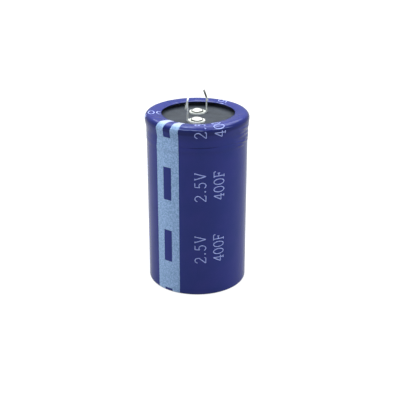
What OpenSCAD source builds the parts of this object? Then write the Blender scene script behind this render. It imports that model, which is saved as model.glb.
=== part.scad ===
// Snap-in supercapacitor: a wound roll sealed in a beaded and curled aluminium
// can under a printed heat-shrink sleeve, with two riveted blade terminals.
// Stands on its closed end: origin at the centre of the base, +Z towards the
// terminals, the printed front facing -Y.

/* [Body] */
// Diameter over the sleeve below the bead
body_d = 35; // [30:0.5:40]
// Height from the sleeve's bottom lip to its shoulder
body_h = 62.2; // [45:0.2:80]
// How far the shoulder stands proud of the body, where the curl swells the can
shoulder_swell = 0.55; // [0.2:0.05:0.8]
// Radius of the sleeve's shoulder over the curl
shoulder_r = 1.87; // [1.5:0.01:2.4]
// Radius of the sleeve's corner at the closed end
base_corner_r = 0.7; // [0.5:0.05:1.2]

/* [Sleeve] */
// Thickness of the shrunk sleeve
sleeve_t = 0.2; // [0.15:0.01:0.3]
// Air left between sleeve and can
shrink_gap = 0.02; // [0.01:0.01:0.05]
// Width of the sleeve's lip over the deck
deck_lip_w = 5.4; // [4.2:0.1:7]
// Width of the sleeve's lip under the closed end
base_lip_w = 3.4; // [2:0.1:6]
// Depth that the sleeve sinks into the bead groove
sleeve_dip = 0.12; // [0.05:0.01:0.2]
// Radius of that dip's section
sleeve_dip_r = 2.6; // [2:0.1:4]

/* [Can] */
// Thickness of the can wall
can_wall = 0.6; // [0.4:0.05:0.7]
// Thickness of the closed end
can_floor = 0.9; // [0.7:0.05:1.2]
// Fillet inside the closed end
floor_fillet = 0.8; // [0.4:0.1:1.2]
// Depth of the rolled bead groove
bead_depth = 1.3; // [1:0.05:1.5]
// Nose radius of the wheel that rolled the groove
bead_nose_r = 1.1; // [0.9:0.05:1.3]
// Radius of the groove's two lips
bead_lip_r = 0.9; // [0.8:0.05:1.2]
// Depth that the curled edge bites into the rubber
curl_bite = 0.3; // [0.1:0.05:0.5]

/* [Vent] */
// Length of each score line from the centre
vent_len = 9; // [5:0.5:11]
// Width of a score line at the surface
vent_w = 0.7; // [0.4:0.1:1]
// Depth of a score line
vent_depth = 0.5; // [0.3:0.05:0.6]
// Number of score lines
vent_rays = 3; // [3:1:4]

/* [Deck] */
// Thickness of the phenolic plate
plate_t = 2.2; // [1.6:0.1:3]
// Radial gap between the plate and the can wall
plate_gap = 0.35; // [0.2:0.05:0.5]
// Thickness of the rubber face
rubber_t = 1.65; // [1.2:0.05:2.4]
// Radial gap between the rubber and the can wall
rubber_gap = 0.03; // [0.01:0.01:0.1]
// Height of the curl's centre above the rubber face
curl_rise = 0.13; // [0:0.01:0.6]

/* [Terminals] */
// Distance between the two rivets
rivet_pitch = 10; // [9:0.1:13]
// Thickness of the terminal sheet
sheet_t = 0.5; // [0.4:0.05:0.8]
// Diameter of the terminal's ring
ring_d = 5.6; // [5:0.1:6.4]
// Distance from the rivet to the middle of the blade
blade_offset = 3.2; // [3:0.1:4]
// Width of the blade
blade_w = 1.8; // [1.5:0.1:2.2]
// Outside radius of the bend at the blade's foot
foot_bend_r = 0.75; // [0.6:0.05:0.95]
// Height of the blade tips above the shoulder
tip_rise = 6.1; // [4:0.1:7]
// Width of the very tip
tip_w = 0.9; // [0.6:0.1:1.2]
// Length of the tip's taper
tip_taper = 0.6; // [0.3:0.1:0.8]
// Length of the locking strip, from the tongue's free end to the tip
lock_len = 3.9; // [3.2:0.1:4.5]
// Width of the locking tongue
tongue_w = 0.8; // [0.5:0.05:0.9]
// Slot left beside the tongue
slot_gap = 0.05; // [0.02:0.01:0.08]
// Length of the negative lock above its kink
negative_above_kink = 0.95; // [0.9:0.05:2.8]
// Lean of the negative lock from upright, in degrees
negative_lean = 13; // [8:0.5:24]
// Length of the positive lock above its kink
positive_above_kink = 2.7; // [0.9:0.05:2.8]
// Lean of the positive lock from upright, in degrees
positive_lean = 20; // [8:0.5:24]

/* [Rivets] */
// Diameter of the rivet shank
shank_d = 2.4; // [2:0.1:3]
// Radial gap between the shank and what it passes through
shank_gap = 0.03; // [0.01:0.01:0.1]
// Diameter of the rivet head
head_d = 4.2; // [3.8:0.1:4.6]
// Height of the rivet head
head_h = 1; // [0.7:0.05:1.3]
// Upright edge of the rivet head
head_edge = 0.35; // [0.2:0.05:0.5]
// Diameter of the clinched tail
tail_d = 3.8; // [3.4:0.1:4.4]
// Height of the clinched tail
tail_h = 0.6; // [0.4:0.05:0.9]
// Upright edge of the clinched tail
tail_edge = 0.2; // [0.1:0.05:0.3]
// Diameter of the washer under the plate
washer_d = 5.2; // [4.8:0.1:6]
// Thickness of that washer
washer_t = 0.5; // [0.3:0.05:0.8]

/* [Leads] */
// Thickness of the foil lead
lead_t = 0.25; // [0.15:0.05:0.4]
// Width of the foil lead
lead_w = 4.6; // [4.2:0.1:5]
// Distance from the axis to the lead's outer fold
lead_fold_y = 9.7; // [9.2:0.1:11]
// Drop from the riveted run to the folded-back run
lead_fold_drop = 1.4; // [1.2:0.1:1.8]
// Distance from the axis to the run that enters the roll
lead_entry_y = 7.8; // [7.4:0.1:9]
// Depth that the lead reaches into the roll
lead_insert = 3; // [1:0.5:6]
// Gap round the lead in the roll and the insulator
lead_gap = 0.1; // [0.05:0.05:0.2]

/* [Winding] */
// Gap between the wound roll with its tape and the can wall
roll_gap = 0.3; // [0.15:0.05:0.8]
// Diameter of the mandrel hole
core_d = 5; // [3:0.5:7]
// Space between the top insulator and the bead's lower lip
head_space = 0.9; // [0.4:0.1:3]
// Thickness of the tape round the roll
tape_t = 0.12; // [0.08:0.01:0.2]
// Gap between tape and roll
tape_gap = 0.02; // [0.01:0.01:0.05]
// Bare roll left above and below the tape
tape_margin = 3; // [1:0.5:6]
// Thickness of the insulating discs
disc_t = 0.3; // [0.2:0.05:0.5]
// Gap between the stacked inner parts
stack_gap = 0.05; // [0.02:0.01:0.1]

/* [Hidden] */
$fn = 96;

aluminium = "silver";
tinned = "gainsboro";

body_r = body_d / 2;
crown_r = body_r + shoulder_swell;
// the shoulder and the curl below it share this centre
curl_x = crown_r - shoulder_r;
curl_z = body_h - shoulder_r;
can_in = sleeve_t + shrink_gap;
wall_in = can_in + can_wall;
can_base = can_in;
floor_z = can_base + can_floor;
cavity_r = body_r - wall_in;

// deck stack, from the rubber face down to the bead
deck_z = curl_z - curl_rise;
rubber_z = deck_z - rubber_t;
seat_z = rubber_z - plate_t;
plate_r = cavity_r - plate_gap;
// the plate's lower edge rests on the round back of the bead
bead_x = body_r - can_in - bead_depth + bead_nose_r;
bead_back_r = bead_nose_r + can_wall;
bead_z = seat_z - sqrt(pow(bead_back_r, 2) - pow(bead_x - plate_r, 2));
lip_x = body_r - can_in - bead_lip_r;
lip_rise = sqrt(pow(bead_nose_r + bead_lip_r, 2) - pow(bead_x - lip_x, 2));
flare_z = bead_z + lip_rise;
leg_r = curl_x - (shoulder_r - can_in);
bite_z = deck_z - curl_bite;

// terminals and rivets, from the rubber face up and down
rivet_y = rivet_pitch / 2;
ring_top_z = deck_z + sheet_t;
tip_z = body_h + tip_rise;
washer_z = seat_z - washer_t;
lead_z = washer_z - lead_t;
shank_hole_r = shank_d / 2 + shank_gap;

// inside the can, from the closed end up
roll_z = floor_z + disc_t + 2 * stack_gap;
insulator_z = bead_z - lip_rise - head_space - disc_t;
roll_top_z = insulator_z - stack_gap;
tape_r = cavity_r - roll_gap;
roll_r = tape_r - tape_t - tape_gap;
disc_r = cavity_r - floor_fillet;
slot_w = lead_w + 2 * lead_gap;
slot_t = lead_t + 2 * lead_gap;
// reach of cuts past the surfaces that they open
cut = 1;

// Half section of the wall with its flare, moved inwards by inset, up to the curl's centre
module wall_section(inset, low_z) {
    translate([0, low_z]) square([body_r - inset, flare_z - low_z]);
    polygon([[0, flare_z], [body_r - inset, flare_z], [crown_r - inset, curl_z], [0, curl_z]]);
}

// Half section of the whole body, moved inwards by inset
module body_section(inset) {
    translate([0, inset]) square([body_r - base_corner_r, base_corner_r]);
    translate([body_r - base_corner_r, base_corner_r]) circle(base_corner_r - inset);
    wall_section(inset, base_corner_r);
    translate([curl_x, curl_z]) circle(shoulder_r - inset);
    translate([0, curl_z]) square([curl_x, shoulder_r - inset]);
}

// Half section of the bead groove, for a wall face at face_r
module bead_section(nose_r, lip_r, face_r) {
    translate([bead_x, bead_z]) circle(nose_r);
    difference() {
        translate([bead_x, bead_z - lip_rise]) square([face_r + cut - bead_x, 2 * lip_rise]);
        for (side = [-1, 1]) translate([lip_x, bead_z + side * lip_rise]) circle(lip_r);
    }
}

// Half section of the space inside the can, up to the curl
module cavity_section() {
    difference() {
        wall_section(wall_in, floor_z);
        bead_section(bead_back_r, bead_lip_r - can_wall, cavity_r);
        translate([cavity_r - floor_fillet, floor_z]) difference() {
            square([floor_fillet + cut, floor_fillet]);
            translate([0, floor_fillet]) circle(floor_fillet);
        }
    }
}

// The curled edge: an arch over the rubber and a leg that bites into it
module curl_section() {
    translate([curl_x, curl_z]) intersection() {
        difference() {
            circle(shoulder_r - can_in);
            circle(shoulder_r - wall_in);
        }
        translate([-shoulder_r, 0]) square([2 * shoulder_r, shoulder_r]);
    }
    translate([leg_r, bite_z]) square([can_wall, curl_z - bite_z]);
}

// One V-shaped score line of the vent, cut up into the closed end
module score_line() {
    translate([0, 0, can_base]) rotate([90, 0, 90]) linear_extrude(vent_len)
        polygon([[-vent_w / 2, 0], [-vent_w / 2, -cut], [vent_w / 2, -cut], [vent_w / 2, 0],
                 [0, vent_depth]]);
}

module can() {
    color(aluminium) difference() {
        rotate_extrude() {
            difference() {
                intersection() {
                    body_section(can_in);
                    square([crown_r, curl_z]);
                }
                cavity_section();
                bead_section(bead_nose_r, bead_lip_r, body_r);
            }
            curl_section();
        }
        for (ray = [0:vent_rays - 1]) rotate(ray * 360 / vent_rays) score_line();
    }
}

// Section of the sleeve's dip over the bead, for the face moved inwards by inset
module dip_section(inset) {
    translate([body_r - sleeve_dip + sleeve_dip_r, bead_z]) circle(sleeve_dip_r + inset);
}

module sleeve() {
    color("midnightblue") rotate_extrude() difference() {
        body_section(0);
        dip_section(0);
        difference() {
            body_section(sleeve_t);
            dip_section(sleeve_t);
        }
        translate([0, -cut]) square([body_r - base_lip_w, cut + body_r]);
        translate([0, curl_z]) square([crown_r - deck_lip_w, shoulder_r + cut]);
    }
}

module rivet_holes(r) {
    for (side = [-1, 1]) translate([0, side * rivet_y]) circle(r);
}

module deck_plate() {
    color("saddlebrown") translate([0, 0, seat_z]) linear_extrude(plate_t) difference() {
        circle(plate_r);
        rivet_holes(shank_hole_r);
    }
}

module deck_rubber() {
    color("dimgray") difference() {
        // the squeezed rubber fills the flared wall, and the curl's leg dents its face
        rotate_extrude() difference() {
            intersection() {
                wall_section(wall_in + rubber_gap, floor_z);
                translate([0, rubber_z]) square([crown_r, rubber_t]);
            }
            translate([leg_r, bite_z]) square([can_wall, curl_bite + cut]);
        }
        translate([0, 0, rubber_z - cut]) linear_extrude(rubber_t + 2 * cut)
            rivet_holes(shank_hole_r);
    }
}

// Flat of the locking strip: tip above the kink, free tongue below it
module lock_outline(above_kink) {
    polygon([[-blade_w / 2, 0], [blade_w / 2, 0], [blade_w / 2, above_kink - tip_taper],
             [tip_w / 2, above_kink], [-tip_w / 2, above_kink],
             [-blade_w / 2, above_kink - tip_taper]]);
    translate([-tongue_w / 2, above_kink - lock_len]) square([tongue_w, lock_len - tip_taper]);
}

// Blade in the plane of X and Z, standing at blade_offset
module blade(above_kink, lean) {
    kink_z = tip_z - above_kink * cos(lean);
    tongue_len = lock_len - above_kink;
    leg_z = deck_z + foot_bend_r;
    difference() {
        translate([blade_offset - sheet_t / 2, -blade_w / 2, leg_z])
            cube([sheet_t, blade_w, kink_z - leg_z]);
        translate([blade_offset - sheet_t, -tongue_w / 2 - slot_gap, kink_z - tongue_len])
            cube([2 * sheet_t, tongue_w + 2 * slot_gap, tongue_len + cut]);
    }
    translate([blade_offset, 0, kink_z]) {
        rotate([90, 0, 0]) cylinder(d = sheet_t, h = blade_w, center = true);
        rotate([0, -lean, 0]) rotate([90, 0, 90]) translate([0, 0, -sheet_t / 2])
            linear_extrude(sheet_t) lock_outline(above_kink);
    }
}

module terminal(above_kink, lean) {
    bend_x = blade_offset + sheet_t / 2 - foot_bend_r;
    translate([0, 0, deck_z]) linear_extrude(sheet_t) difference() {
        union() {
            circle(d = ring_d);
            translate([0, -blade_w / 2]) square([bend_x, blade_w]);
        }
        circle(shank_hole_r);
    }
    translate([bend_x, 0, deck_z + foot_bend_r]) rotate([90, 0, 0])
        linear_extrude(blade_w, center = true) intersection() {
            difference() {
                circle(foot_bend_r);
                circle(foot_bend_r - sheet_t);
            }
            translate([0, -foot_bend_r]) square(foot_bend_r);
        }
    blade(above_kink, lean);
}

module terminal_negative() {
    color(tinned) translate([0, -rivet_y, 0]) rotate(180)
        terminal(negative_above_kink, negative_lean);
}

module terminal_positive() {
    color(tinned) translate([0, rivet_y, 0]) terminal(positive_above_kink, positive_lean);
}

// Half section of a flat-edged dome that stands on the X axis
module dome_section(d, h, edge) {
    cap_h = h - edge;
    cap_r = (pow(d / 2, 2) + pow(cap_h, 2)) / (2 * cap_h);
    square([d / 2, edge]);
    intersection() {
        translate([0, h - cap_r]) circle(cap_r);
        translate([0, edge]) square([d / 2, cap_h]);
    }
}

module rivet() {
    color(aluminium) rotate_extrude() {
        translate([0, ring_top_z]) dome_section(head_d, head_h, head_edge);
        translate([0, lead_z]) square([shank_d / 2, ring_top_z - lead_z]);
        translate([0, lead_z]) mirror([0, 1]) dome_section(tail_d, tail_h, tail_edge);
    }
}

module rivet_negative() translate([0, -rivet_y, 0]) rivet();
module rivet_positive() translate([0, rivet_y, 0]) rivet();

module washer() {
    color(aluminium) translate([0, 0, washer_z]) linear_extrude(washer_t) difference() {
        circle(d = washer_d);
        circle(shank_hole_r);
    }
}

module washer_negative() translate([0, -rivet_y, 0]) washer();
module washer_positive() translate([0, rivet_y, 0]) washer();

// Flat strip of thickness t along a line of points, round at its folds
module ribbon(points, t) {
    for (i = [0:len(points) - 2]) {
        run = points[i + 1] - points[i];
        translate(points[i]) rotate(atan2(run[1], run[0])) translate([0, -t / 2])
            square([norm(run), t]);
    }
    for (i = [1:len(points) - 2]) translate(points[i]) circle(d = t);
}

// Foil lead from under the washer, folded back once, down into the roll
module lead() {
    run_z = lead_z + lead_t / 2;
    back_z = run_z - lead_fold_drop;
    route = [[rivet_y - washer_d / 2, run_z], [lead_fold_y, run_z], [lead_fold_y, back_z],
             [lead_entry_y, back_z], [lead_entry_y, roll_top_z - lead_insert]];
    color(aluminium) difference() {
        rotate([90, 0, 90]) linear_extrude(lead_w, center = true) ribbon(route, lead_t);
        translate([0, rivet_y, lead_z - cut / 2]) cylinder(r = shank_hole_r, h = cut);
    }
}

module lead_negative() rotate(180) lead();
module lead_positive() lead();

// Slots in plan for the two leads
module lead_slots() {
    for (side = [-1, 1]) translate([0, side * lead_entry_y]) square([slot_w, slot_t], center = true);
}

module top_insulator() {
    color("wheat") translate([0, 0, insulator_z]) linear_extrude(disc_t) difference() {
        circle(disc_r);
        lead_slots();
        circle(d = core_d);
    }
}

module winding() {
    color("darkslategray") difference() {
        translate([0, 0, roll_z]) linear_extrude(roll_top_z - roll_z) difference() {
            circle(roll_r);
            circle(d = core_d);
        }
        translate([0, 0, roll_top_z - lead_insert - lead_gap])
            linear_extrude(lead_insert + lead_gap + cut) lead_slots();
    }
}

module winding_tape() {
    color("goldenrod") translate([0, 0, roll_z + tape_margin])
        linear_extrude(roll_top_z - roll_z - 2 * tape_margin) difference() {
            circle(tape_r);
            circle(tape_r - tape_t);
        }
}

module bottom_insulator() {
    color("wheat") translate([0, 0, floor_z + stack_gap]) cylinder(r = disc_r, h = disc_t);
}

can();
sleeve();
deck_plate();
deck_rubber();
terminal_negative();
terminal_positive();
rivet_negative();
rivet_positive();
washer_negative();
washer_positive();
lead_negative();
lead_positive();
top_insulator();
winding();
winding_tape();
bottom_insulator();
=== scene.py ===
# %% [markdown]
# # A snap-in supercapacitor
# The real object is a drawn aluminium can, 35 mm across. A wound roll of carbon-coated foil is sealed
# inside it by a rubber-faced deck, and the can's rim is curled over onto that rubber. A printed vinyl
# film is shrunk round everything but the deck, and two riveted blades snap into a circuit board.
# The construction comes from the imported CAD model, which is loaded as a fixed frame. This script gives
# it its looks: the shrunk film and its print are modelled here, and every surface gets its finish.

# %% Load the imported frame
import math

import bpy
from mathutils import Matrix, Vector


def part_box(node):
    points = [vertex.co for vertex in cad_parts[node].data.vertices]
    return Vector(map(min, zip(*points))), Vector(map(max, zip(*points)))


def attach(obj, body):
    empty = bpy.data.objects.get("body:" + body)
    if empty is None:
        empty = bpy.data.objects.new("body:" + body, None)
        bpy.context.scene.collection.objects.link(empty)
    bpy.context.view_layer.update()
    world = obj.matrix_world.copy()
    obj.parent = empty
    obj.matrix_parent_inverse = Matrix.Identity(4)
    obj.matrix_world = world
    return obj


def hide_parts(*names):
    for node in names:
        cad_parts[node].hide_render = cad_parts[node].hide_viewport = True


MM = 0.001

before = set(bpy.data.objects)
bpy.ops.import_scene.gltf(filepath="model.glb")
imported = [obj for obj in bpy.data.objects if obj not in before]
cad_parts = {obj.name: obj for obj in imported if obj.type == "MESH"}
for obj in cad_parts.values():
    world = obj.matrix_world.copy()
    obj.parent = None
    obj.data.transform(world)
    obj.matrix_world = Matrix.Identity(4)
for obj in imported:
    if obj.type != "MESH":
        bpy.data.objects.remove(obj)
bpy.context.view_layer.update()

# %% [markdown]
# ## Camera
# The camera comes first, because every later choice is judged through it. It stands a hand's width
# above the can and looks down by about 23 degrees, close enough for the can to taper a little towards
# its foot. It could be aimed with a Track To constraint, but plain angles are easier to read back.

# %% Stand the camera
CAMERA_REACH = 290 * MM
CAMERA_RISE = 152.1 * MM
CAMERA_ROUND = math.radians(0.81)
CAMERA_HEADING = math.radians(0.614)
CAMERA_DIP = math.radians(22.99)
CAMERA_LENS = 79.13

scene = bpy.context.scene
camera = bpy.data.objects.new("camera", bpy.data.cameras.new("camera"))
camera.data.lens = CAMERA_LENS
camera.location = (CAMERA_REACH * math.sin(CAMERA_ROUND), -CAMERA_REACH * math.cos(CAMERA_ROUND),
                   CAMERA_RISE)
camera.rotation_euler = (math.pi / 2 - CAMERA_DIP, 0, CAMERA_HEADING)
scene.collection.objects.link(camera)
scene.camera = camera
print("camera", [round(v / MM) for v in camera.location], "mm, lens", CAMERA_LENS)

# %% [markdown]
# ## Node trees as sums
# Materials, the world and Geometry Nodes are all node trees. Wiring them by hand is long, so two small
# classes do it. A Board adds any node by its type, settings and inputs. A Wire is one output socket,
# and a sum written on it, such as 1 - mask, adds the Math nodes that work it out.

# %% Wires and boards
class Wire:
    """One output socket of a node tree. A sum on it adds the Math node that does the sum."""

    def __init__(self, board, socket):
        self.board = board
        self.socket = socket

    def __add__(self, other):
        return self.board.maths("ADD", self, other)

    def __sub__(self, other):
        return self.board.maths("SUBTRACT", self, other)

    def __rsub__(self, other):
        return self.board.maths("SUBTRACT", other, self)

    def __mul__(self, other):
        return self.board.maths("MULTIPLY", self, other)

    def __truediv__(self, other):
        return self.board.maths("DIVIDE", self, other)

    def __mod__(self, other):
        return self.board.maths("FLOORED_MODULO", self, other)

    __radd__ = __add__
    __rmul__ = __mul__


class Board:
    """A node tree that is being wired."""

    def __init__(self, tree):
        self.tree = tree

    def node(self, kind, settings=None, inputs=None, out=0):
        """Adds a node: its type, its settings, then the values or links of its sockets."""
        made = self.tree.nodes.new(kind)
        for name, value in (settings or {}).items():
            setattr(made, name, value)
        for name, value in (inputs or {}).items():
            self.feed(made.inputs[name], value)
        return Wire(self, made.outputs[out])

    def feed(self, socket, value):
        """Links a wire to a socket, or writes a plain value on it."""
        if isinstance(value, Wire):
            self.tree.links.new(value.socket, socket)
        else:
            socket.default_value = value

    def maths(self, operation, *values):
        return self.node("ShaderNodeMath", {"operation": operation}, dict(enumerate(values)))

    def parts(self, vector):
        """The three numbers of a vector."""
        split = self.node("ShaderNodeSeparateXYZ", {}, {0: vector}).socket.node
        return [Wire(self, split.outputs[i]) for i in range(3)]

    def vector(self, x, y, z):
        return self.node("ShaderNodeCombineXYZ", {}, {0: x, 1: y, 2: z})

    def vectors(self, operation, a, b):
        """Vector Math on two vectors, or on a vector and a number for SCALE."""
        second = 3 if operation == "SCALE" else 1
        return self.node("ShaderNodeVectorMath", {"operation": operation}, {0: a, second: b})

    def rise(self, value, low, high, start=0, end=1):
        """Goes smoothly from start to end while the value goes from low to high."""
        limits = {"Value": value, "From Min": low, "From Max": high, "To Min": start, "To Max": end}
        return self.node("ShaderNodeMapRange", {"interpolation_type": "SMOOTHSTEP"}, limits)

    def within(self, value, low, high, soft):
        """1 between low and high and 0 outside, with edges of a soft width."""
        return self.rise(value, low - soft, low + soft) * self.rise(value, high - soft, high + soft, 1, 0)

    def noise(self, place, size, detail=2, roughness=0.5):
        """Cloudy noise from 0 to 1, with lumps of a size in metres."""
        lumps = {"Vector": place, "Scale": 1 / size, "Detail": detail, "Roughness": roughness}
        return self.node("ShaderNodeTexNoise", {}, lumps)


print("boards and wires ready")

# %% [markdown]
# ## Floor, lamps and sky
# The can stands on a plain white sweep, in the soft light of a tent: one wide lamp overhead and one on
# each side, with a narrow strip in front for the shoulder. A glossy dark film shows its surroundings
# more than its own colour, so what the film can see matters as much as the lamps. That is why the two
# side lamps light the film but are kept out of its reflections, where they would draw grey streaks
# down the shoulder. The floor is a pale diffuse sheet, which keeps the can's shadow, and a little glow
# for camera and mirror rays lifts it to the paper white of a catalogue picture.

# %% Lay the floor
FLOOR_HALF = 4.0
FLOOR_GREY = 0.22
FLOOR_MOTTLE = 0.01
FLOOR_GLOW = {"Is Camera Ray": 0.78, "Is Transmission Ray": 0.78, "Is Glossy Ray": 0.28}


def floor_glow(board):
    """Strength of the floor's glow: full for the camera, a little in reflections."""
    rays = board.node("ShaderNodeLightPath").socket.node
    return sum(Wire(board, rays.outputs[name]) * share for name, share in FLOOR_GLOW.items())


def floor_paper():
    """Matt white paper that glows a little for the camera."""
    paper = bpy.data.materials.new("floor_paper")
    paper.use_nodes = True
    board = Board(paper.node_tree)
    board.tree.nodes.clear()
    ground = board.node("ShaderNodeTexCoord", out="Object")
    tone = board.rise(board.noise(ground, 60 * MM, 3), 0.3, 0.7,
                      FLOOR_GREY - FLOOR_MOTTLE, FLOOR_GREY + FLOOR_MOTTLE)
    matt = board.node("ShaderNodeBsdfDiffuse", {}, {"Color": board.vector(tone, tone, tone)})
    glow = board.node("ShaderNodeEmission", {}, {"Strength": floor_glow(board)})
    both = board.node("ShaderNodeAddShader", {}, {0: matt, 1: glow})
    board.feed(board.tree.nodes.new("ShaderNodeOutputMaterial").inputs["Surface"], both)
    return paper


floor_mesh = bpy.data.meshes.new("floor")
corners = [(x * FLOOR_HALF, y * FLOOR_HALF, 0) for x, y in ((-1, -1), (1, -1), (1, 1), (-1, 1))]
floor_mesh.from_pydata(corners, [], [(0, 1, 2, 3)])
floor_mesh.materials.append(floor_paper())
floor = bpy.data.objects.new("floor", floor_mesh)
scene.collection.objects.link(floor)
print("floor", 2 * FLOOR_HALF, "m across")

# %% Hang the lamps
LAMPS = {
    # name: (place in m, point it faces, size in m, power in W, colour, whether reflections show it)
    "overhead": ((0.0, 0.35, 0.75), (0.0, 0.35, 0.0), (1.20, 1.40), 17.0, (0.95, 1.0, 1.0), True),
    "left_side": ((-0.75, 0.05, 0.30), (0.0, 0.0, 0.04), (0.50, 0.50), 3.2, (0.88, 0.95, 1.0), False),
    "right_side": ((0.75, 0.05, 0.30), (0.0, 0.0, 0.04), (0.50, 0.50), 3.2, (0.88, 0.95, 1.0), False),
    "front_strip": ((0.0, -0.50, 0.58), (0.0, 0.0, 0.06), (0.40, 0.025), 1.6, (0.60, 0.72, 1.0), True),
}

for name, (place, target, size, power, tint, mirrored) in LAMPS.items():
    lamp = bpy.data.lights.new(name, "AREA")
    lamp.shape = "RECTANGLE"
    lamp.size, lamp.size_y = size
    lamp.energy = power
    lamp.color = tint
    holder = bpy.data.objects.new(name, lamp)
    holder.location = place
    holder.visible_glossy = mirrored
    aim_x, aim_y, aim_z = (end - start for start, end in zip(place, target))
    holder.rotation_euler = math.atan2(math.hypot(aim_x, aim_y), -aim_z), 0, math.atan2(-aim_x, aim_y)
    scene.collection.objects.link(holder)
print("lamps", list(LAMPS))

# %% Light the sky
SKY_BEHIND = 0.48
SKY_BEFORE = 0.14
# the tent brightens from front to back, and with height by a share of it
SKY_TURN = (-0.7, 0.5)
SKY_LEAN = 0.6


def tent_sky():
    """White to the camera, and to everything else a tent that is dim in front of the can."""
    world = bpy.data.worlds.new("tent_sky")
    world.use_nodes = True
    board = Board(world.node_tree)
    _, y, z = board.parts(board.node("ShaderNodeTexCoord", out="Generated"))
    tent = board.rise(y + z * SKY_LEAN, *SKY_TURN, SKY_BEFORE, SKY_BEHIND)
    rays = board.node("ShaderNodeLightPath", out="Is Camera Ray")
    background = board.tree.nodes["Background"]
    board.feed(background.inputs["Color"], (1, 1, 1, 1))
    board.feed(background.inputs["Strength"], board.maths("MAXIMUM", rays, tent))
    return world


scene.world = tent_sky()
scene.view_settings.view_transform = "Standard"
print("sky", SKY_BEFORE, "to", SKY_BEHIND)

# %% [markdown]
# ## Finishes
# Every finish is a Principled shader with its own small node tree. What varies over the surface, such
# as grain, haze and print, goes to colour, roughness and bump. What is the same everywhere is written
# on the shader's own sockets.

# %% A finish and the helpers it uses
class Finish(Board):
    """A material that is being mixed: a board with a Principled shader at its end."""

    # a Mix node has sockets for every kind of data; these are the factor and the ones for colour
    MIX_FACTOR, MIX_DARK, MIX_LIGHT, MIX_RESULT = 0, 6, 7, 2

    def __init__(self, name, fixed):
        self.material = bpy.data.materials.new(name)
        self.material.use_nodes = True
        super().__init__(self.material.node_tree)
        self.shader = self.tree.nodes["Principled BSDF"]
        for socket, value in fixed.items():
            self.shader.inputs[socket].default_value = value
        self.place = self.node("ShaderNodeTexCoord", out="Object")

    def stretched(self, x, y, z):
        """Object coordinates, scaled along each axis: a small factor draws a pattern out along it."""
        return self.node("ShaderNodeMapping", {}, {"Vector": self.place, "Scale": (x, y, z)})

    def shade(self, amount, dark, light):
        """A colour between two, by an amount from 0 to 1."""
        blend = {self.MIX_FACTOR: amount, self.MIX_DARK: colour(dark), self.MIX_LIGHT: colour(light)}
        return self.node("ShaderNodeMix", {"data_type": "RGBA"}, blend, out=self.MIX_RESULT)

    def relief(self, height, depth):
        """Bump of a real depth in metres, from a height between 0 and 1."""
        bump = self.node("ShaderNodeBump", {}, {"Height": height, "Distance": depth})
        self.feed(self.shader.inputs["Normal"], bump)

    def use(self, **wires):
        """Feeds the shader's sockets; underscores stand for spaces."""
        for name, value in wires.items():
            self.feed(self.shader.inputs[name.replace("_", " ")], value)
        return self.material


def colour(value):
    """A plain colour gets its alpha; a wire stays as it is."""
    return value if isinstance(value, Wire) else (*value, 1)


print("finishes start from a Principled shader")

# %% [markdown]
# ### Shrunk film and its print
# The film is dark blue vinyl, printed before it was shrunk, so its print follows the surface: over the
# shoulder, in over the lip and round the foot. The artwork repeats at a fixed pitch along the tube. Its
# places are measured on the film itself: "around" is the distance round the can from the front, and
# "up" the distance along the film from its lower lip. The film's own UV map carries both.

# %% The film's sizes
sleeve_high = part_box("sleeve")[1]
CROWN_R = sleeve_high.x
TOP_Z = sleeve_high.z
SHOULDER_SWELL = 0.55 * MM
DECK_LIP_W = 5.4 * MM
BASE_LIP_W = 3.4 * MM
WALL_R = CROWN_R - SHOULDER_SWELL
SHOULDER_R = 1.87 * MM
SHOULDER_RISE = 1.8 * MM
CORNER_R = 0.7 * MM
DECK_LIP_R = CROWN_R - DECK_LIP_W
BASE_LIP_R = WALL_R - BASE_LIP_W
LIP_DROOP = 0.34 * MM
CURL_R = CROWN_R - SHOULDER_R
CURL_Z = TOP_Z - SHOULDER_R
BEAD_Z = TOP_Z - 7.38 * MM
SWELLS = [
    # from height, to height, gain in radius; the gains add up to the shoulder's swell
    (TOP_Z - 10.0 * MM, TOP_Z - 8.6 * MM, 0.11 * MM),
    (TOP_Z - 5.4 * MM, TOP_Z - SHOULDER_RISE, 0.44 * MM),
]
DIP_DEPTH = 0.05 * MM
DIP_R = 0.8 * MM
DIP_HALF = 0.5 * MM
FINE_FROM_Z = TOP_Z - 13 * MM
BASE_LIP_STEPS, FOOT_STEPS, SHOULDER_STEPS, LIP_STEPS = 6, 8, 26, 12
# rows of the wall: below its fine part, up to the dip, across it, and up to the shoulder
WALL_STEPS = (36, 24, 12, 22)
PRINT_CREEP = 0.65 * MM
FILM_THICKNESS = 0.2 * MM
GIRTH = 2 * math.pi * WALL_R
print("film: wall radius", round(WALL_R / MM, 2), "mm, top", round(TOP_Z / MM, 2), "mm")


# %% Draw the film's outline
def arc(centre, reach, rise, start, end, steps):
    """Points on an arc with two half axes, as (radius, height), between two angles in degrees."""
    angles = [math.radians(start + (end - start) * i / steps) for i in range(steps + 1)]
    return [(centre[0] + reach * math.cos(a), centre[1] + rise * math.sin(a)) for a in angles]


def run(start, end, steps):
    """Evenly spaced points from start to end, without the two ends."""
    return [tuple(a + (b - a) * i / steps for a, b in zip(start, end)) for i in range(1, steps)]


def wall_radius(z):
    """The wall swells above the can's bead and again under the shoulder, and dips a little at the bead."""
    radius = WALL_R - max(0, DIP_DEPTH - (z - BEAD_Z) ** 2 / (2 * DIP_R))
    for low, high, gain in SWELLS:
        share = min(1, max(0, (z - low) / (high - low)))
        radius += gain * share * share * (3 - 2 * share)
    return radius


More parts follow.
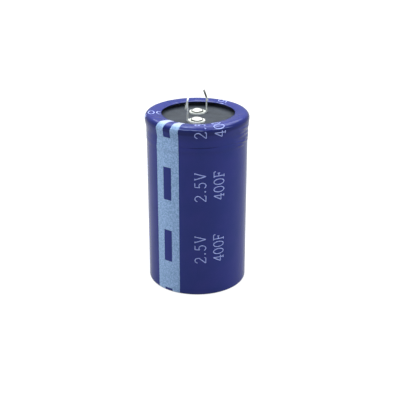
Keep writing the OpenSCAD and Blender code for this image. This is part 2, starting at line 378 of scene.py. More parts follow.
def film_outline():
    """The outer face's half section, from the lip under the closed end up to the lip over the deck."""
    foot = arc((WALL_R - CORNER_R, CORNER_R), CORNER_R, CORNER_R, -90, 0, FOOT_STEPS)
    shoulder = arc((CURL_R, TOP_Z - SHOULDER_RISE), SHOULDER_R, SHOULDER_RISE, 0, 90, SHOULDER_STEPS)
    levels = [CORNER_R, FINE_FROM_Z, BEAD_Z - DIP_HALF, BEAD_Z + DIP_HALF, shoulder[0][1]]
    wall = []
    for low, high, steps in zip(levels, levels[1:], WALL_STEPS):
        wall += [low + (high - low) * i / steps for i in range(steps)]
    wall = [(wall_radius(z), z) for z in wall[1:]]
    lip = []
    for share in [i / LIP_STEPS for i in range(1, LIP_STEPS + 1)]:
        r = CURL_R + (DECK_LIP_R - CURL_R) * share
        lip.append((r, TOP_Z - LIP_DROOP * share ** 2))
    under = [(BASE_LIP_R, 0)] + run((BASE_LIP_R, 0), foot[0], BASE_LIP_STEPS)
    return under + foot + wall + shoulder + lip


def poly_curve(name, strokes):
    """A curve object with one straight-sided spline for each list of (x, y, z) points."""
    data = bpy.data.curves.new(name, "CURVE")
    data.dimensions = "3D"
    for stroke in strokes:
        spline = data.splines.new("POLY")
        spline.points.add(len(stroke) - 1)
        for point, (x, y, z) in zip(spline.points, stroke):
            point.co = (x, y, z, 1)
    drawing = bpy.data.objects.new(name, data)
    scene.collection.objects.link(drawing)
    return drawing


outline_points = film_outline()
outline = poly_curve("film_outline", [[(r, 0, z) for r, z in outline_points]])
FILM_LENGTH = sum(math.dist(a, b) for a, b in zip(outline_points, outline_points[1:]))
MAP_LENGTH = FILM_LENGTH + 2 * PRINT_CREEP
print("outline:", len(outline_points), "points,", round(FILM_LENGTH / MM, 2), "mm long")

# %% Where the print lies on the film
STRIPE = (-15.20 * MM, -6.05 * MM)
DASH = (-12.15 * MM, -8.95 * MM)
PRINT_PITCH = 23.2 * MM
DASH_MIDDLE = 21.65 * MM
DASH_LENGTH = 11.9 * MM
DASH_SPAN = ((PRINT_PITCH - DASH_LENGTH) / 2, (PRINT_PITCH + DASH_LENGTH) / 2)
PRINT_EDGE = 0.05 * MM
PRINT_WAVER = 0.12 * MM
# near the top the stripe is drawn in on its left, and it drifts aside as it turns over the shoulder
DRAWN_IN = 0.40 * MM
DRAWN_IN_OVER = (TOP_Z - 9 * MM, TOP_Z - 5 * MM)
DRIFT = 0.45 * MM
DRIFT_OVER = (TOP_Z - 1.8 * MM, TOP_Z - 0.2 * MM)
# over the lip, the last of it has a painted sheen of the light from above: paler and greyer
STRIPE_SHEEN_OVER = (MAP_LENGTH - 5.2 * MM, MAP_LENGTH - 2.8 * MM)
print("print repeats every", round(PRINT_PITCH / MM, 1), "mm")

# %% Where the vinyl's colour changes, and where shade and highlights are painted on it
DEEP_BLUE = (0.020, 0.031, 0.178)
INDIGO = (0.026, 0.033, 0.192)
# painted shade: the darkest blue, painted in the band under the shoulder and in the line at the bead
PAINTED_SHADE_BLUE = (0.006, 0.010, 0.080)
STRIPE_BLUE = (0.215, 0.335, 0.515)
STRIPE_PALE = (0.365, 0.505, 0.735)
# painted sheen: the paler, greyer stripe over the lip
STRIPE_SHEEN = (0.42, 0.44, 0.62)
# painted highlight: the pale blue of two thin lines on the shoulder
HIGHLIGHT_LINE_BLUE = (0.34, 0.40, 0.66)
# painted shade: one dark line in the dip at the bead, over a share of the way round
BEAD_SHADE_ROUND = (0.48, 0.56)
BEAD_SHADE_HALF = 0.12 * MM
# painted shade: a dark band under the shoulder, which climbs away from the front
SHADE_BAND = (TOP_Z - 3.0 * MM, TOP_Z - 1.1 * MM)
SHADE_BAND_SOFT = 0.4 * MM
SHADE_BAND_STRENGTH = 0.7
SHADE_BAND_CLIMB = 0.7 * MM
SHADE_BAND_CLIMBS_OVER = (6 * MM, 14 * MM)
# two painted highlight lines on the shoulder, over the can's curl: how far they lie from the film's upper
# end
HIGHLIGHT_LINE_DEPTHS = (5.80 * MM, 4.85 * MM)
HIGHLIGHT_LINES_AROUND = (-7.0 * MM, 11.0 * MM)
HIGHLIGHT_LINE_WIDTH = 0.25 * MM
HIGHLIGHT_LINE_STRENGTH = 0.5
print("band under the shoulder from", round(SHADE_BAND[0] / MM, 1), "to", round(SHADE_BAND[1] / MM, 1), "mm")


# %% Mix the film's vinyl
def stripe_mask(film, around, up):
    """1 on the stripe, 0 on its dashes and beside it."""
    _, _, z = film.parts(film.place)
    drifted = around - film.rise(z, *DRIFT_OVER) * DRIFT
    drawn_in = film.rise(z, *DRAWN_IN_OVER) * DRAWN_IN
    stripe = film.within(drifted, drawn_in + STRIPE[0], STRIPE[1], PRINT_EDGE)
    column = film.within(drifted, drawn_in + DASH[0], DASH[1], PRINT_EDGE)
    along_repeat = (up - DASH_MIDDLE + PRINT_PITCH / 2) % PRINT_PITCH
    return stripe * (1 - column * film.within(along_repeat, *DASH_SPAN, PRINT_EDGE))


def stripe_ink(film, up):
    """Pale blue ink in fine speckles, with a painted sheen over the lip that makes it paler and greyer in
    clumps.
    """
    speckle = film.rise(film.noise(film.place, 0.55 * MM, 2), 0.32, 0.68)
    flat = film.shade(speckle, STRIPE_BLUE, STRIPE_PALE)
    # painted sheen over the lip, in clumps
    sheen_clumps = film.rise(film.noise(film.place, 0.8 * MM, 2), 0.3, 0.55, 0.45, 1)
    return film.shade(film.rise(up, *STRIPE_SHEEN_OVER) * sheen_clumps, flat, STRIPE_SHEEN)


def bare_vinyl(film, u, around):
    """Blue in slow clouds, with painted shade in a band under the shoulder and in a line at the bead."""
    _, _, z = film.parts(film.place)
    cloud = film.rise(film.noise(film.place, 9 * MM, 3), 0.35, 0.65)
    clear = film.shade(cloud, DEEP_BLUE, INDIGO)
    # painted shade: a thin dark line at the bead, over part of the way round
    bead_shade = film.within(z, BEAD_Z - BEAD_SHADE_HALF, BEAD_Z + BEAD_SHADE_HALF, 0.1 * MM)
    bead_shade = bead_shade * film.within(u, *BEAD_SHADE_ROUND, 0.02)
    # painted shade: a dark band under the shoulder, higher away from the front
    climb = film.rise(film.maths("ABSOLUTE", around), *SHADE_BAND_CLIMBS_OVER) * SHADE_BAND_CLIMB
    painted_band = film.within(z - climb, *SHADE_BAND, SHADE_BAND_SOFT) * SHADE_BAND_STRENGTH
    return film.shade(film.maths("MAXIMUM", bead_shade, painted_band), clear, PAINTED_SHADE_BLUE)


def painted_highlight_lines(film, v, around):
    """1 in two broken, wandering painted highlight lines on the shoulder over the curl, round the front."""
    crest = v * MAP_LENGTH + (film.noise(film.place, 6 * MM, 2) - 0.5) * (0.8 * MM)
    starts = [MAP_LENGTH - depth for depth in HIGHLIGHT_LINE_DEPTHS]
    lines = sum(film.within(crest, start, start + HIGHLIGHT_LINE_WIDTH, 0.08 * MM) for start in starts)
    broken = film.rise(film.noise(film.place, 4 * MM, 2), 0.35, 0.6)
    return lines * broken * film.within(around, *HIGHLIGHT_LINES_AROUND, 2.5 * MM)


def film_vinyl():
    """Glossy dark blue vinyl with its printed stripe, painted shade, and two thin painted highlight lines
    on the shoulder.
    """
    film = Finish("film_vinyl", {"IOR": 1.5, "Specular IOR Level": 0.22})
    u, v, _ = film.parts(film.node("ShaderNodeUVMap", {"uv_map": "film_map"}))
    waver = (film.noise(film.place, 0.7 * MM, 3) - 0.5) * PRINT_WAVER
    around = (u - 0.5) * GIRTH + waver
    up = v * MAP_LENGTH + waver
    ink = stripe_mask(film, around, up)
    pinholes = film.rise(film.noise(film.place, 0.22 * MM, 1), 0.66, 0.72)
    inked = film.shade(ink * (1 - pinholes * 0.5), bare_vinyl(film, u, around), stripe_ink(film, up))
    # painted highlight: two thin lines on the shoulder
    base = film.shade(painted_highlight_lines(film, v, around) * HIGHLIGHT_LINE_STRENGTH, inked, HIGHLIGHT_LINE_BLUE)
    peel = film.noise(film.place, 1.3 * MM, 2) * 0.7 + film.noise(film.place, 0.3 * MM, 1) * 0.3
    film.relief(peel + ink * 0.4, 0.02 * MM)
    haze = film.noise(film.place, 3 * MM, 4)
    return film.use(Base_Color=base, Roughness=0.1 + haze * 0.08 + ink * 0.22)


film_finish = film_vinyl()
print("film finish:", len(film_finish.node_tree.nodes), "nodes")

# %% [markdown]
# ### The film as a surface
# The film follows one rule: the outline is carried round the can's axis, then lifted a little where the
# vinyl gathered as it shrank. That is a job for Geometry Nodes. A flat grid has one column for each step
# round the can and one row for each point of the outline. Each grid point looks up its outline point,
# turns it about the axis, and moves out along the surface by the height of the wrinkles. Wrinkles only
# lift, because the metal is right behind the film.

# %% A Geometry Nodes tree with named inputs
class Recipe(Board):
    """A Geometry Nodes tree that makes a mesh from its named inputs."""

    KINDS = {float: "NodeSocketFloat", int: "NodeSocketInt", bpy.types.Object: "NodeSocketObject",
             bpy.types.Material: "NodeSocketMaterial"}

    def __init__(self, name, inputs):
        super().__init__(bpy.data.node_groups.new(name, "GeometryNodeTree"))
        self.inputs = inputs
        self.tree.interface.new_socket("Geometry", in_out="OUTPUT", socket_type="NodeSocketGeometry")
        self.tree.interface.new_socket("Geometry", in_out="INPUT", socket_type="NodeSocketGeometry")
        for label, value in inputs.items():
            self.tree.interface.new_socket(label, in_out="INPUT", socket_type=self.KINDS[type(value)])
        self.source = self.tree.nodes.new("NodeGroupInput")

    def __getitem__(self, label):
        return Wire(self, self.source.outputs[label])

    def drawing(self, label):
        """The geometry of the object given to an input."""
        return self.node("GeometryNodeObjectInfo", {}, {"Object": self[label]}, out="Geometry")

    def make(self, name, geometry):
        """Ends the tree with real geometry in its finish, and returns the object that it makes."""
        real = self.node("GeometryNodeRealizeInstances", {}, {"Geometry": geometry})
        painted = self.node("GeometryNodeSetMaterial", {}, {"Geometry": real, "Material": self["Finish"]})
        self.feed(self.tree.nodes.new("NodeGroupOutput").inputs["Geometry"], painted)
        host = bpy.data.objects.new(name, bpy.data.meshes.new(name + "_host"))
        scene.collection.objects.link(host)
        modifier = host.modifiers.new("recipe", "NODES")
        modifier.node_group = self.tree
        for item in self.tree.interface.items_tree:
            if item.in_out == "INPUT" and item.name in self.inputs:
                modifier[item.identifier] = self.inputs[item.name]
        ready = host.evaluated_get(bpy.context.evaluated_depsgraph_get())
        mesh = bpy.data.meshes.new_from_object(ready)
        host.modifiers.remove(modifier)
        mesh.name = name
        host.data = mesh
        return host


print("recipes make meshes")

# %% Where the film gathers
# places along the film count from its lower lip, and bearings are radians round the can from its front
PLEATS_OVER = (FILM_LENGTH - 5.2 * MM, FILM_LENGTH - 3 * MM)
PLEAT_SHARE = 0.6
CREASES_ROUND = (0.85, 1.5)
CREASES_ALONG = (FILM_LENGTH - 14.5 * MM, FILM_LENGTH - 7.5 * MM)
CREASE_SLANT = 0.12
CREASE_SHARE = 2.2
SWELLS_OVER = (4 * MM, 12 * MM)
SWELL_SHARE = 0.25
RINGS = [
    # from place, to place, softness of the edge, share of the gather height
    (FILM_LENGTH - 5.9 * MM, FILM_LENGTH - 5.6 * MM, 0.15 * MM, 0.7),
    (FILM_LENGTH - 4.9 * MM, FILM_LENGTH - 4.5 * MM, 0.2 * MM, 0.5),
]
RINGS_ROUND = (-0.5, 0.6)
RING_WANDER = 0.8 * MM


def gathers(recipe, angle, sine, cosine, along):
    """Height of the vinyl's gathers over the whole film, as a share of the gather height."""
    around = angle * WALL_R
    # fine pleats that run in over the lip
    ring = recipe.vector(sine * 12, cosine * 12, along / (9 * MM))
    pleats = recipe.rise(recipe.noise(ring, 1, 2), 0.45, 0.75) * recipe.rise(along, *PLEATS_OVER)
    # fine creases that lie round the can above and below the bead, on the right
    crease_zone = recipe.within(angle, *CREASES_ROUND, 0.15) * recipe.within(along, *CREASES_ALONG, 1 * MM)
    lying = recipe.vector((along + around * CREASE_SLANT) / (0.8 * MM), around / (5 * MM), 0)
    creases = recipe.rise(recipe.noise(lying, 1, 1), 0.4, 0.65) * crease_zone
    # slow swells over the wall
    swell = recipe.vector(sine * 2, cosine * 2, along / (14 * MM))
    swells = recipe.noise(swell, 1, 1) * recipe.rise(along, *SWELLS_OVER)
    # two faint rings where the vinyl bends over the can's curl
    wander = (recipe.noise(recipe.vector(sine * 3, cosine * 3, 0), 1, 2) - 0.5) * RING_WANDER
    rings = sum(recipe.within(along + wander, low, high, soft) * share for low, high, soft, share in RINGS)
    rings = rings * recipe.within(angle, *RINGS_ROUND, 0.25)
    return pleats * PLEAT_SHARE + creases * CREASE_SHARE + swells * SWELL_SHARE + rings


print("film gathers in pleats, creases, swells and", len(RINGS), "rings")

# %% Carry the outline round the can
ROWS = len(outline_points)
COLUMNS = 300
GATHER_HEIGHT = 0.10 * MM
# the lip over the deck: its opening sits a little to the right, and its edge wanders in slow lumps,
# whose size is measured on a circle of radius one
LIP_OVER = (FILM_LENGTH - 3.4 * MM, FILM_LENGTH)
LIP_OFFSET = 0.35 * MM
EDGE_WANDER = 0.30 * MM
EDGE_LUMPS = 0.35
LIP_LEANS = [
    # from bearing, to bearing, how far out the lip's edge lies there
    (-0.85, 0.35, 0.45 * MM),
    (0.65, 1.2, -0.25 * MM),
]
# where the film crept as it shrank, which carries its print along
CREEP_AT_FOOT = (4 * MM, 14 * MM)
CREEP_AT_TOP = (FILM_LENGTH - 20 * MM, FILM_LENGTH - 8 * MM)
MERGE_WITHIN = 0.001 * MM
# the part of the axis from which outwards is judged
CORE = (15 * MM, TOP_Z - 15 * MM)


def film_surface():
    """The film's outer face, with its UV map."""
    recipe = Recipe("film_round_can", {
        "Outline": outline, "Rows": ROWS, "Columns": COLUMNS, "Gather height": GATHER_HEIGHT,
        "Edge wander": EDGE_WANDER, "Lip offset": LIP_OFFSET, "Finish": film_finish})
    drawn = recipe.drawing("Outline")
    grid = recipe.node("GeometryNodeMeshGrid", {}, {
        "Vertices X": recipe["Columns"] + 1, "Vertices Y": recipe["Rows"]})
    index = recipe.node("GeometryNodeInputIndex")
    row = index % recipe["Rows"]
    column = recipe.maths("FLOOR", index / recipe["Rows"])

    def looked_up(kind, value):
        """A value of the outline, at the point that this row stands for."""
        return recipe.node("GeometryNodeSampleIndex", {"data_type": kind, "domain": "POINT"}, {
            "Geometry": drawn, "Value": value, "Index": row})

    position = recipe.node("GeometryNodeInputPosition")
    reach, _, height = recipe.parts(looked_up("FLOAT_VECTOR", position))
    tangent = recipe.node("GeometryNodeInputTangent")
    slope_r, _, slope_z = recipe.parts(looked_up("FLOAT_VECTOR", tangent))
    along = looked_up("FLOAT", recipe.node("GeometryNodeSplineParameter", out="Length"))
    angle = (column / recipe["Columns"] - 0.5) * (2 * math.pi)
    sine, cosine = recipe.maths("SINE", angle), recipe.maths("COSINE", angle)

    lift = gathers(recipe, angle, sine, cosine, along) * recipe["Gather height"]
    on_lip = recipe.rise(along, *LIP_OVER)
    wander = recipe.noise(recipe.vector(sine, cosine, 0), EDGE_LUMPS, 3) - 0.5
    leans = sum(recipe.within(angle, low, high, 0.2) * lean for low, high, lean in LIP_LEANS)
    out = reach + slope_z * lift + on_lip * (wander * recipe["Edge wander"] + leans)
    x = out * sine + on_lip * recipe["Lip offset"]
    place = recipe.vector(x, 0 - out * cosine, height - slope_r * lift)
    shaped = recipe.node("GeometryNodeSetPosition", {}, {"Geometry": grid, "Position": place})

    creep = recipe.rise(along, *CREEP_AT_FOOT) + recipe.rise(along, *CREEP_AT_TOP)
    flat = recipe.vector(column / recipe["Columns"], (along + creep * PRINT_CREEP) / MAP_LENGTH, 0)
    at_points = recipe.node("GeometryNodeFieldOnDomain", {"data_type": "FLOAT_VECTOR", "domain": "POINT"},
                            {0: flat})
    mapped = recipe.node("GeometryNodeStoreNamedAttribute", {"data_type": "FLOAT2", "domain": "CORNER"},
                         {"Geometry": shaped, "Name": "film_map", "Value": at_points})
    closed = recipe.node("GeometryNodeMergeByDistance", {}, {"Geometry": mapped, "Distance": MERGE_WITHIN})
    smooth = recipe.node("GeometryNodeSetShadeSmooth", {}, {"Geometry": closed})
    return recipe.make("shrunk_film", smooth)


def faces_outwards(face):
    """Whether a face looks away from the nearest point of the can's core. The flat lips count too."""
    x, y, z = face.center
    nearest = min(max(z, CORE[0]), CORE[1])
    return face.normal.x * x + face.normal.y * y + face.normal.z * (z - nearest) > 0


film = film_surface()
outward = sum(map(faces_outwards, film.data.polygons))
print("film:", len(film.data.polygons), "faces,", outward, "of them face outwards")

# %% [markdown]
# ### Rating figures
# Two rows of figures run up the front of the can, one up its left side and one up its back, and all
# repeat with the print. They are generic: a voltage and a capacity, in thin engraved-style strokes. A
# text object would bring a font file with it, so each figure is drawn from a few straight lines and
# bows. Geometry Nodes repeats the flat artwork at the print's pitch, gives the strokes the thickness
# of ink, and wraps them on the film by looking up each point's place on the film's UV map.

# %% Draw the figures
FIGURE_HEIGHT = 3.75 * MM
FIGURE_WIDTH = 2.3 * MM


def line(x0, y0, x1, y1):
    return [(x0, y0), (x1, y1)]


def bow(x, y, half_width, half_height, start, end, steps=20):
    """Part of an ellipse, between two angles in degrees."""
    angles = [math.radians(start + (end - start) * i / steps) for i in range(steps + 1)]
    return [(x + half_width * math.cos(a), y + half_height * math.sin(a)) for a in angles]


FIGURES = {
    # strokes in a box one wide and one high
    "2": [bow(0.48, 0.72, 0.40, 0.28, 170, -32), line(0.82, 0.57, 0.05, 0.02), line(0.04, 0, 0.92, 0),
          line(0.92, 0, 0.97, 0.14)],
    "4": [line(0.68, 1, 0.02, 0.3), line(0.02, 0.3, 0.98, 0.3), line(0.68, 1, 0.68, 0),
          line(0.48, 0, 0.88, 0)],
    "5": [line(0.24, 1, 0.88, 1), line(0.24, 1, 0.18, 0.56), bow(0.46, 0.32, 0.42, 0.32, 130, -150)],
    "0": [bow(0.5, 0.5, 0.42, 0.5, 0, 360, 32)],
    ".": [bow(0.20, 0.07, 0.08, 0.05, 0, 360, 8)],
    "V": [line(0.04, 1, 0.5, 0), line(0.5, 0, 0.96, 1), line(-0.08, 1, 0.18, 1), line(0.82, 1, 1.08, 1)],
    "F": [line(0.22, 1, 0.22, 0), line(0.02, 1, 0.9, 1), line(0.9, 1, 0.94, 0.82),
          line(0.22, 0.53, 0.66, 0.53), line(0.66, 0.64, 0.66, 0.42), line(0.02, 0, 0.42, 0)],
}
ROWS_OF_FIGURES = [
    # figures, place of their baseline round the can, start up the film, step
    ("2.5V", 3.2 * MM, 39.45 * MM, 3.2 * MM),
    ("400F", 9.7 * MM, 39.65 * MM, 2.72 * MM),
    ("400F", -24.1 * MM, 41.0 * MM, 2.72 * MM),
    ("2.5V", 46.1 * MM, 39.45 * MM, 3.2 * MM),
]
POINT_STEP = 0.5


def figure_strokes():
    """The flat artwork: x is the distance round the can and y the distance up the film."""
    strokes = []
    for figures, baseline, start, step in ROWS_OF_FIGURES:
        for figure in figures:
            for stroke in FIGURES[figure]:
                strokes.append([(baseline - y * FIGURE_HEIGHT, start + x * FIGURE_WIDTH, 0)
                                for x, y in stroke])
            start += step * (POINT_STEP if figure == "." else 1)
    return strokes


artwork = poly_curve("rating_artwork", figure_strokes())
print("artwork:", len(artwork.data.splines), "strokes")

# %% Mix the ink
INK_LAVENDER = (0.33, 0.38, 0.74)
INK_PALE = (0.46, 0.52, 0.90)


def rating_ink():
    """Thin pale ink that lets a little of the vinyl's blue through."""
    ink = Finish("rating_ink", {"IOR": 1.5, "Specular IOR Level": 0.35})
    patchy = ink.rise(ink.noise(ink.place, 0.5 * MM, 3), 0.3, 0.7)
    ink.relief(ink.noise(ink.place, 0.15 * MM, 1), 0.004 * MM)
    return ink.use(Base_Color=ink.shade(patchy, INK_LAVENDER, INK_PALE), Roughness=0.35 + patchy * 0.15)


ink_finish = rating_ink()
print("ink finish:", len(ink_finish.node_tree.nodes), "nodes")

# %% Print the figures on the film
INK_HEIGHT = 0.012 * MM
INK_SINK = 0.004 * MM
STROKE_WIDTH = 0.28 * MM
STROKE_STEP = 0.2 * MM
REPEATS = 3


def printed_figures():
    """The artwork, repeated up the film, thickened and wrapped on the film's outer face."""
    recipe = Recipe("print_on_film", {
        "Artwork": artwork, "Film": film, "Repeats": REPEATS, "Pitch": PRINT_PITCH,
        "Stroke width": STROKE_WIDTH, "Ink height": INK_HEIGHT, "Finish": ink_finish})
    first = recipe.vector(0, 0 - recipe["Pitch"], 0)
    stations = recipe.node("GeometryNodeMeshLine", {"mode": "OFFSET"}, {
        "Count": recipe["Repeats"], "Start Location": first,
        "Offset": recipe.vector(0, recipe["Pitch"], 0)})
    copies = recipe.node("GeometryNodeInstanceOnPoints", {}, {
        "Points": stations, "Instance": recipe.drawing("Artwork")})
    strokes = recipe.node("GeometryNodeRealizeInstances", {}, {"Geometry": copies})
    fine = recipe.node("GeometryNodeResampleCurve", {"mode": "LENGTH"}, {
        "Curve": strokes, "Length": STROKE_STEP})
    level = recipe.node("GeometryNodeSetCurveNormal", {"mode": "Z_UP"}, {"Curve": fine})
    nib = recipe.node("GeometryNodeCurvePrimitiveQuadrilateral", {"mode": "RECTANGLE"},
                      {"Width": recipe["Stroke width"], "Height": recipe["Ink height"]})
    thick = recipe.node("GeometryNodeCurveToMesh", {}, {
        "Curve": level, "Profile Curve": nib, "Fill Caps": True})

    around, up, above = recipe.parts(recipe.node("GeometryNodeInputPosition"))
    place_on_map = recipe.vector(around / GIRTH + 0.5, up / MAP_LENGTH, 0)
    film_mesh = recipe.drawing("Film")
    film_map = recipe.node("GeometryNodeInputNamedAttribute", {"data_type": "FLOAT_VECTOR"}, {
        "Name": "film_map"})

    def on_film(kind, out):
        """Something of the film, at the place where this point of the artwork lies on it."""
        sampled = {"Mesh": film_mesh, "Value": recipe.node(kind), "UV Map": film_map,
                   "Sample UV": place_on_map}
        return recipe.node("GeometryNodeSampleUVSurface", {"data_type": "FLOAT_VECTOR"}, sampled, out=out)

    # what lies beyond the film's upper lip is cut off, as the film was
    beyond = recipe.node("FunctionNodeBooleanMath", {"operation": "NOT"},
                         {0: on_film("GeometryNodeInputPosition", "Is Valid")})
    cut = recipe.node("GeometryNodeDeleteGeometry", {"domain": "POINT"}, {
        "Geometry": thick, "Selection": beyond})
    above = above + (INK_HEIGHT / 2 - INK_SINK)
    rise = recipe.vectors("SCALE", on_film("GeometryNodeInputNormal", "Value"), above)
    place = recipe.vectors("ADD", on_film("GeometryNodeInputPosition", "Value"), rise)
    wrapped = recipe.node("GeometryNodeSetPosition", {}, {"Geometry": cut, "Position": place})
    return recipe.make("rating_print", wrapped)


figures = printed_figures()
print("print:", len(figures.data.polygons), "faces")

# %% Give the film its thickness
wall = film.modifiers.new("film_thickness", "SOLIDIFY")
wall.thickness = FILM_THICKNESS
wall.offset = -1
for piece in (film, figures):
    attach(piece, "root")
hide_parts("sleeve")
for drawing in (outline, artwork):
    bpy.data.objects.remove(drawing)
print("film and print ride on the can")

# %% [markdown]
# ### Metals, rubber and what is inside
# The other nodes already have their true shape from CAD, so each keeps its mesh and gets a finish on
# Object coordinates, which hold in every view.

# %% The metals' colours and places
CAN_DULL, CAN_BRIGHT = (0.66, 0.66, 0.67), (0.82, 0.82, 0.83)
# painted shade for the can's curl under the film's lip, a little bluish
CURL_PAINTED_SHADE = (0.014, 0.018, 0.040)
# tin: bright on the ring, and yellower and darker on the blades, as stains and painted shade
TIN_BRIGHT, TIN_STAINED_AND_SHADED = (0.86, 0.87, 0.80), (0.66, 0.66, 0.52)
# painted shade: the near-black of the positive blade's lock
TIN_LOCK_SHADE = (0.12, 0.12, 0.10)
RIVET_DULL, RIVET_BRIGHT = (0.70, 0.71, 0.70), (0.84, 0.84, 0.83)
# painted shade on the rivet heads' flanks
RIVET_FLANK_SHADE = (0.10, 0.10, 0.09)
FOIL_DULL, FOIL_BRIGHT = (0.68, 0.68, 0.69), (0.80, 0.80, 0.81)
# painted shade: the can's curl is painted near-black and not metallic where it meets the rubber, as the
# shade under the film's lip
CURL_SHADE_REACH = (CURL_R, CURL_R - 0.5 * MM)
CURL_SHADE_HEIGHT = (CURL_Z - 1 * MM, CURL_Z - 0.5 * MM)
HEAD_TOP_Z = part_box("rivet_positive")[1].z
FLANK_SHADE_OVER = (HEAD_TOP_Z - 0.45 * MM, HEAD_TOP_Z - 0.60 * MM)
RING_TOP_Z = HEAD_TOP_Z - 1.0 * MM
BLADE_OVER = (RING_TOP_Z, RING_TOP_Z + 0.5 * MM)
TIP_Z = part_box("terminal_positive")[1].z
LOCK_SHADE_OVER = (TIP_Z - 2.7 * MM, TIP_Z - 2.3 * MM)
print("rivet heads end at", round(HEAD_TOP_Z / MM, 2), "mm, blades at", round(TIP_Z / MM, 2), "mm")


# %% Mix the metals
def drawn_aluminium():
    """Bare drawn can with fine lines along its length, and painted shade on its curl under the film's lip.
    """
    metal = Finish("drawn_aluminium", {})
    x, y, z = metal.parts(metal.place)
    reach = metal.maths("SQRT", x * x + y * y)
    # painted shade on the curl, where it meets the rubber
    curl_shade = metal.rise(reach, *CURL_SHADE_REACH) * metal.rise(z, *CURL_SHADE_HEIGHT)
    lines = metal.noise(metal.stretched(1, 1, 0.02), 0.12 * MM, 2)
    haze = metal.noise(metal.place, 5 * MM, 3)
    metal.relief(lines, 0.004 * MM)
    bare = metal.shade(haze, CAN_DULL, CAN_BRIGHT)
    return metal.use(Base_Color=metal.shade(curl_shade, bare, CURL_PAINTED_SHADE), Metallic=1 - curl_shade,
                     Roughness=0.26 + lines * 0.14 + curl_shade * 0.2)


def tinned_sheet():
    """Tin plate with rolling lines: bright on the ring round the rivets, on the blades yellower and darker
    in patches of stain and painted shade, and one lock painted dark as its shade.
    """
    metal = Finish("tinned_sheet", {"Metallic": 0.35})
    x, _, z = metal.parts(metal.place)
    # the upright blades are painted darker than the ring: stains and painted shade
    blade = metal.rise(z, *BLADE_OVER)
    # painted shade: the positive blade's lock is painted near black
    lock_shade = metal.rise(x, 0, 1 * MM) * metal.rise(z, *LOCK_SHADE_OVER)
    lines = metal.noise(metal.stretched(1, 1, 0.05), 0.06 * MM, 2)
    stain_and_shade = metal.rise(metal.noise(metal.place, 1.6 * MM, 3), 0.45, 0.75)
    metal.relief(lines, 0.003 * MM)
    on_blade = metal.shade(stain_and_shade, TIN_BRIGHT, TIN_STAINED_AND_SHADED)
    sheet = metal.shade(blade, TIN_BRIGHT, on_blade)
    return metal.use(Base_Color=metal.shade(lock_shade, sheet, TIN_LOCK_SHADE), Roughness=0.34 + blade * 0.14)


def upset_aluminium():
    """Rivet metal: a bright domed face, faintly dimpled by the tool, with painted shade on its flank and
    below.
    """
    metal = Finish("upset_aluminium", {"Metallic": 1})
    _, _, z = metal.parts(metal.place)
    dimples = metal.noise(metal.place, 0.5 * MM, 3)
    metal.relief(dimples, 0.006 * MM)
    face = metal.shade(dimples, RIVET_DULL, RIVET_BRIGHT)
    # painted shade: dark from the head's flank down
    flank_shade = metal.rise(z, *FLANK_SHADE_OVER)
    return metal.use(Base_Color=metal.shade(flank_shade, face, RIVET_FLANK_SHADE), Roughness=0.30 + dimples * 0.12)


def lead_foil():
    """Thin soft foil with shallow creases."""
    metal = Finish("lead_foil", {"Metallic": 1})
    creases = metal.noise(metal.stretched(1, 1, 0.3), 0.8 * MM, 3)
    metal.relief(creases, 0.03 * MM)
    soft = metal.shade(creases, FOIL_DULL, FOIL_BRIGHT)
    return metal.use(Base_Color=soft, Roughness=0.3 + creases * 0.15)


print("metals mixed")

# %% The colours of rubber, boards and roll
RUBBER_DARK, RUBBER_DUSTY = (0.017, 0.020, 0.028), (0.032, 0.037, 0.048)
RUBBER_GRAIN = (0.08, 0.09, 0.105)
RESIN, RESIN_FIBRE = (0.12, 0.055, 0.025), (0.27, 0.14, 0.07)
KRAFT_DARK, KRAFT_PALE = (0.55, 0.46, 0.29), (0.80, 0.72, 0.52)
CARBON, SEPARATOR = (0.018, 0.018, 0.020), (0.34, 0.33, 0.30)
AMBER_DARK, AMBER_PALE = (0.58, 0.33, 0.07), (0.76, 0.50, 0.15)
TURN = 0.3 * MM
SEPARATOR_SHARE = (0.15, 0.4)
print("one turn of the roll is", round(TURN / MM, 2), "mm thick")


# %% Mix the rubber, boards and roll
def deck_rubber():
    """Matt moulded rubber, dusty in patches, with a fine pitted grain."""
    rubber = Finish("deck_rubber", {"IOR": 1.5, "Specular IOR Level": 0.3})
    grain = rubber.noise(rubber.place, 0.18 * MM, 3)
    pits = rubber.rise(rubber.noise(rubber.place, 0.5 * MM, 2), 0.35, 0.5)
    dust = rubber.rise(rubber.noise(rubber.place, 4 * MM, 4), 0.35, 0.7)
    rubber.relief(grain * 0.5 + pits * 0.5, 0.05 * MM)
    worn = rubber.shade(dust, RUBBER_DARK, RUBBER_DUSTY)
    grainy = rubber.shade(grain * 0.4, worn, RUBBER_GRAIN)
    return rubber.use(Base_Color=grainy, Roughness=0.62 + grain * 0.2)


def phenolic():
    """Pressed laminate: brown, with paper fibres along X."""
    board = Finish("phenolic", {"IOR": 1.55})
    fibres = board.noise(board.stretched(0.12, 1, 1), 0.25 * MM, 3)
    board.relief(fibres, 0.01 * MM)
    return board.use(Base_Color=board.shade(fibres, RESIN, RESIN_FIBRE), Roughness=0.4 + fibres * 0.2)


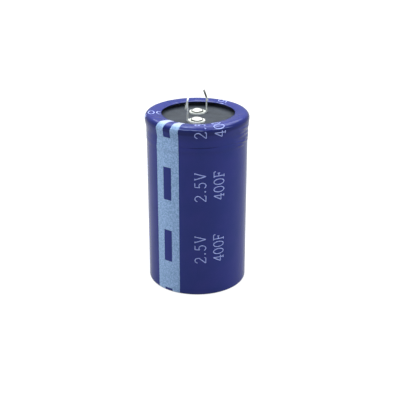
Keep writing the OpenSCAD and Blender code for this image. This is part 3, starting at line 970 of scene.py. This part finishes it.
def insulating_paper():
    """Kraft board with its fibres and flecks."""
    paper = Finish("insulating_paper", {"IOR": 1.5, "Specular IOR Level": 0.2})
    fibres = paper.noise(paper.stretched(1, 0.25, 1), 0.3 * MM, 4)
    paper.relief(fibres, 0.02 * MM)
    return paper.use(Base_Color=paper.shade(fibres, KRAFT_DARK, KRAFT_PALE), Roughness=0.75 + fibres * 0.15)


def wound_roll():
    """Coated foil and paper wound on a mandrel: the ends show its turns as fine rings."""
    roll = Finish("wound_roll", {"IOR": 1.5})
    x, y, _ = roll.parts(roll.place)
    reach = roll.maths("SQRT", x * x + y * y)
    turn = (reach % TURN) / TURN
    paper = roll.within(turn, *SEPARATOR_SHARE, 0.08)
    fuzz = roll.noise(roll.place, 0.4 * MM, 3)
    roll.relief(paper * 0.6 + fuzz * 0.4, 0.04 * MM)
    pale = paper * (0.5 + fuzz * 0.5)
    return roll.use(Base_Color=roll.shade(pale, CARBON, SEPARATOR), Roughness=0.5 + fuzz * 0.2)


def roll_tape():
    """Amber film tape, a little wrinkled."""
    tape = Finish("roll_tape", {"IOR": 1.5})
    ripple = tape.noise(tape.stretched(1, 1, 0.4), 2 * MM, 2)
    tape.relief(ripple, 0.03 * MM)
    return tape.use(Base_Color=tape.shade(ripple, AMBER_DARK, AMBER_PALE), Roughness=0.2 + ripple * 0.12)


print("rubber, boards and roll mixed")

# %% Dress the CAD nodes
aluminium, tinned, upset, foil = drawn_aluminium(), tinned_sheet(), upset_aluminium(), lead_foil()
rubber, board, paper, roll, tape = deck_rubber(), phenolic(), insulating_paper(), wound_roll(), roll_tape()
DRESS = {
    "can": aluminium, "deck_rubber": rubber, "deck_plate": board,
    "terminal_negative": tinned, "terminal_positive": tinned,
    "rivet_negative": upset, "rivet_positive": upset, "washer_negative": upset, "washer_positive": upset,
    "lead_negative": foil, "lead_positive": foil, "top_insulator": paper, "bottom_insulator": paper,
    "winding": roll, "winding_tape": tape,
}
for node, finish in DRESS.items():
    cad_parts[node].material_slots[0].material = finish
print("dressed", len(DRESS), "CAD nodes")
